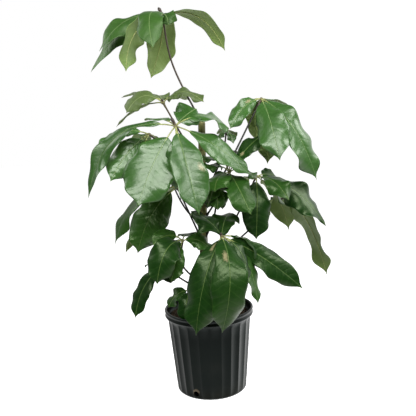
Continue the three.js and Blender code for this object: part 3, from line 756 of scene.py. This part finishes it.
def leaflet(blades, stalks, name, number, shape, hub, stalk, lightness):
    """One leaflet of a compound leaf: its blade, and its stalk that runs on as the midrib."""

    def own(table, usual):
        """What the table says of this leaflet, or else the usual."""
        return table.get(name, {}).get(number, usual)

    bearing, reach, drop, bow, sway, width, roll = shape
    bearing, roll = radians(bearing), radians(roll)
    reach, drop, bow, sway, width = (value / 1000 for value in (reach, drop, bow, sway, width))
    left = np.array([-sin(bearing), cos(bearing), 0])
    chord = np.array([reach * cos(bearing), reach * sin(bearing), -drop])
    up = np.cross(chord, left)
    up /= np.linalg.norm(up)
    bend = hub + BEND_SHARE * chord + 2 * bow * up + 2 * sway * left
    t = np.linspace(0, 1, MIDRIB_STEPS + 1)[:, None]
    line = (1 - t) ** 2 * hub + 2 * t * (1 - t) * bend + t ** 2 * (hub + chord)
    length = np.linalg.norm(np.diff(line, axis=0), axis=1).sum()
    start = own(SHORT_STALKS, stalk) / length

    # Every leaflet draws the same number of times, so that a change to one leaves the others as they are.
    twist = radians(own(TWISTS, draw.uniform(-USUAL_TWIST, USUAL_TWIST)))
    long_phase, short_phase, ruffle_phase, rocking_phase = (draw.uniform(0, 2 * pi) for _ in range(4))
    # The tone holds the leaf's lightness, a random step, and painted light and shade for some leaflets.
    tone_and_painted_light = lightness + draw.uniform(-0.15, 0.15) + own(TONES_AND_PAINTED_LIGHT, 0)
    waviness = own(WAVINESS, 1)
    ruffle = waviness * draw.uniform(0.6, 1.4)
    quilting = own(QUILTING, waviness)
    gutter = own(FOLDS, GUTTER)
    arch = ARCH * (0.4 + 0.6 * waviness)
    scorch_share, scorch_side, scorch_radius = own(SCORCHED, NO_SCORCH)

    def ribs(shares):
        """Centre, side and normal at each share of the blade's length."""
        whole = start + (1 - start) * shares
        forward = spread(line, np.minimum(whole + 0.004, 1)) - spread(line, np.maximum(whole - 0.004, 0))
        forward /= np.linalg.norm(forward, axis=1)[:, None]
        level = left - forward * (forward @ left)[:, None]
        level /= np.linalg.norm(level, axis=1)[:, None]
        turn = (roll + twist * (shares - TWIST_SHARE))[:, None]
        side = level * np.cos(turn) + np.cross(forward, level) * np.sin(turn)
        return spread(line, whole), side, np.cross(forward, side)

    shares = np.linspace(0, 1, BLADE_ROWS + 1)
    centre, side, normal = ribs(shares)
    half = np.interp(shares, half_widths[:, 0], half_widths[:, 1])
    beat = np.interp(shares, WAVE_SHARES, range(len(WAVE_SHARES)))
    layers = [blades.verts.layers.float[layer] for layer in BLADE_LAYERS]
    made = bmesh.ops.create_grid(blades, x_segments=BLADE_ROWS, y_segments=BLADE_COLUMNS, size=0.5)["verts"]
    for corner in made:
        row = round((corner.co.x + 0.5) * BLADE_ROWS)
        share = shares[row]
        # v runs from -1 to 1 across the blade, with its columns closer together near the midrib.
        v = corner.co.y * 2
        v = v * (0.72 + 0.28 * abs(v))
        lobe = 1 if v > 0 else -1
        margin = 1 + LONG_SWING * sin(15 * share + long_phase + lobe)
        margin += SHORT_SWING * sin(31 * share + short_phase * lobe)
        out = v * width / 2 * half[row] * margin
        wave = WAVE * min(ruffle, 1.3) * v * v * sin(number + 2.4 * beat[row] + 1.7 * lobe)
        wave += RUFFLE * ruffle * abs(v) ** 2.5 * sin(22 * share + ruffle_phase + 1.3 * lobe)
        wave += ROCKING * sin(6 * share + rocking_phase) * v
        rise = width * half[row] * (gutter * ((v * v + 0.004) ** 0.5 - 0.063) - arch * v * v + wave)
        corner.co = Vector(centre[row] + side[row] * out + normal[row] * rise)
        away = hypot((share - scorch_share) * length / SCORCH_STRETCH, v * width / 2 - scorch_side)
        scorch = max(1 - away / scorch_radius, 0)
        for layer, value in zip(layers, (share * length, out, abs(v), tone_and_painted_light, scorch, quilting)):
            corner[layer] = value
    bmesh.ops.remove_doubles(blades, verts=made, dist=WELD)

    # The stalk runs from the knuckle at foot to the blade's base at 0, and on under the blade.
    foot = -start / (1 - start)
    steps = np.concatenate([np.linspace(foot, 0, 10), np.linspace(0, 0.97, 26)[1:]])
    centre, _, normal = ribs(steps)
    taper = np.interp(steps, (-1, foot, foot * 0.7, 0, 0.15, 1), (1.6, 1.6, 1, 1, 0.62, 0.2))
    radii = LEAFLET_STALK_RADIUS * taper
    below = np.interp(steps, (-0.02, 0.1), (0, 0.75))[:, None] * radii[:, None]
    ripeness = np.interp(steps, (foot, foot * 0.6, 0, 0.2), (0.7, 0.9, 1.0, 1.0))
    tube(stalks, centre - normal * (below + 0.0004 * (below > 0)), radii, ripeness, 8)


for name, (hub, foot, via, stalk, leaflets) in LEAVES.items():
    hub, foot, via, stalk = np.array(hub) / 1000, foot / 1000, Vector(via) / 1000, stalk / 1000
    blades = bmesh.new()
    for layer in BLADE_LAYERS:
        blades.verts.layers.float.new(layer)
    stalks = bmesh.new()
    ripe_layer = stalks.verts.layers.float.new("ripe")
    lightness = np.interp(hub[2], *zip(*LIGHTNESS))
    for number, shape in enumerate(leaflets):
        leaflet(blades, stalks, name, number, shape, hub, stalk, lightness)

    base = trunk_centre(foot)
    seat = trunk_radius(foot) * SEAT_SHARE
    path = smooth_line([base, via, Vector(hub)], 60)
    outside = [spot for spot in path
               if spot[2] > TRUNK_SHOULDER or hypot(spot[0] - base.x, spot[1] - base.y) > seat]
    run = np.linspace(0, 1, STALK_STEPS + 1)
    radii = STALK_RADIUS * np.interp(run, *zip(*STALK_TAPER))
    brown = STALK_BROWN.get(name, 0.0)
    ripeness = np.interp(run, (0, 0.08, 0.75, 0.94, 1),
                         (brown * 0.5 + 0.2, brown * 0.4, brown * 0.5, 0.12 + brown * 0.4, 0.5))
    tube(stalks, spread(np.array(outside), run), radii, ripeness, 14)

    squashed = Matrix.Translation(hub) @ Matrix.Diagonal((1, 1, KNUCKLE_FLATNESS, 1))
    knuckle = bmesh.ops.create_icosphere(stalks, subdivisions=3, radius=KNUCKLE_RADIUS, matrix=squashed)
    for corner in knuckle["verts"]:
        corner.co += (corner.co - Vector(hub)) * KNUCKLE_LUMPS * noise.noise(corner.co * 400)
        corner[ripe_layer] = 0.55
    if name in BUDS:
        rise = np.linspace(0, 1, 9)
        bud = hub + np.stack([-0.5 * rise ** 1.5, -0.05 * rise, rise], axis=1) * BUDS[name]
        tube(stalks, bud, np.interp(rise, *zip(*BUD_RADII)), 0.45 - 0.35 * rise)
    bmesh.ops.recalc_face_normals(stalks, faces=stalks.faces)

    face = UPPER_FACES.get(name, old_upper_face if hub[2] < OLD_LEAF_HEIGHT else upper_face)
    foliage = finished(name.replace("leaf", "blades", 1), blades, [face, under_face_and_painted_backlight], [name])
    leather = foliage.modifiers.new("thickness", "SOLIDIFY")
    leather.thickness = BLADE_THICKNESS
    leather.offset = 0
    leather.material_offset = 1
    finished(name.replace("leaf", "stalks", 1), stalks, [stalk_skin], [name])


# The studio. A plain white sweep for a floor, and a pale surround that is brightest behind, to the right
# and below, and dim overhead. A broad softbox stands in front, higher than the camera, with a weaker one
# high on the right and the weakest high on the left.
FLOOR_HALF_WIDTH = 12
AIM = Vector((0.02, 0, 0.75))
# Each softbox: how far round from the camera in degrees, distance and height, width and height, watts.
SOFTBOXES = (
    ("front_box", (0, 1.5, 1.80), (2.2, 0.8), 62),
    ("right_box", (88, 1.3, 1.55), (0.9, 0.7), 16),
    ("left_box", (-105, 1.3, 1.5), (0.9, 0.7), 7),
)

mesh = bmesh.new()
bmesh.ops.create_grid(mesh, x_segments=1, y_segments=1, size=FLOOR_HALF_WIDTH)
floor = bpy.data.objects.new("floor", bpy.data.meshes.new("floor"))
mesh.to_mesh(floor.data)
mesh.free()
bpy.context.scene.collection.objects.link(floor)
sweep = finish_of("white_sweep", Base_Color=(0.9, 0.9, 0.9, 1), Roughness=0.9, Emission_Color=(1, 1, 1, 1),
                  Emission_Strength=0.85, Specular_IOR_Level=0.2)
floor.data.materials.append(sweep)
floor.visible_glossy = False
floor.visible_diffuse = False

surround = bpy.data.worlds.new("surround")
surround.use_nodes = True
glow = surround.node_tree.nodes["Background"]
facing = wire(surround, "SeparateXYZ", {"Vector": wire(surround, "TexCoord", {}).outputs["Generated"]})
backdrop = ranged(surround, facing.outputs["Y"], -0.55, 0.5, 0.02, 0.9)
backdrop = sums(surround, "MULTIPLY", backdrop, ranged(surround, facing.outputs["X"], -0.9, 0.9, 0.4, 1.6))
backdrop = sums(surround, "MULTIPLY", backdrop, ranged(surround, facing.outputs["Z"], 0.5, 0.85, 1, 0.08))
backdrop = sums(surround, "ADD", backdrop, ranged(surround, facing.outputs["Z"], -0.2, -0.8, 0, 1.0))
seen = wire(surround, "LightPath", {}).outputs["Is Camera Ray"]
glow.inputs["Color"].default_value = (1, 1, 1, 1)
surround.node_tree.links.new(sums(surround, "MAXIMUM", backdrop, seen), glow.inputs["Strength"])
bpy.context.scene.world = surround

for name, (azimuth, away, height), size, power in SOFTBOXES:
    light = bpy.data.lights.new(name, "AREA")
    light.shape = "RECTANGLE"
    light.energy = power
    light.size, light.size_y = size
    lamp = bpy.data.objects.new(name, light)
    lamp.location = (AIM.x + away * sin(radians(azimuth)), -away * cos(radians(azimuth)), height)
    lamp.rotation_euler = (AIM - lamp.location).to_track_quat("-Z", "Y").to_euler()
    bpy.context.scene.collection.objects.link(lamp)
bpy.context.scene.view_settings.view_transform = "Standard"


# The camera. It stands a little above the middle of the plant, looks slightly down, and leans a touch out
# of level, as the photograph does. Its lens is in millimetres and its pitch and roll in degrees.
CAMERA_PLACE = (0.011, -1.6296, 0.7709)
CAMERA_PITCH = 8.155
CAMERA_ROLL = -2.605
CAMERA_LENS = 49.43

camera = bpy.data.objects.new("camera", bpy.data.cameras.new("camera"))
camera.data.lens = CAMERA_LENS
camera.matrix_world = (
    Matrix.Translation(CAMERA_PLACE)
    @ Matrix.Rotation(radians(90 - CAMERA_PITCH), 4, "X")
    @ Matrix.Rotation(radians(CAMERA_ROLL), 4, "Z")
)
bpy.context.scene.collection.objects.link(camera)
bpy.context.scene.camera = camera
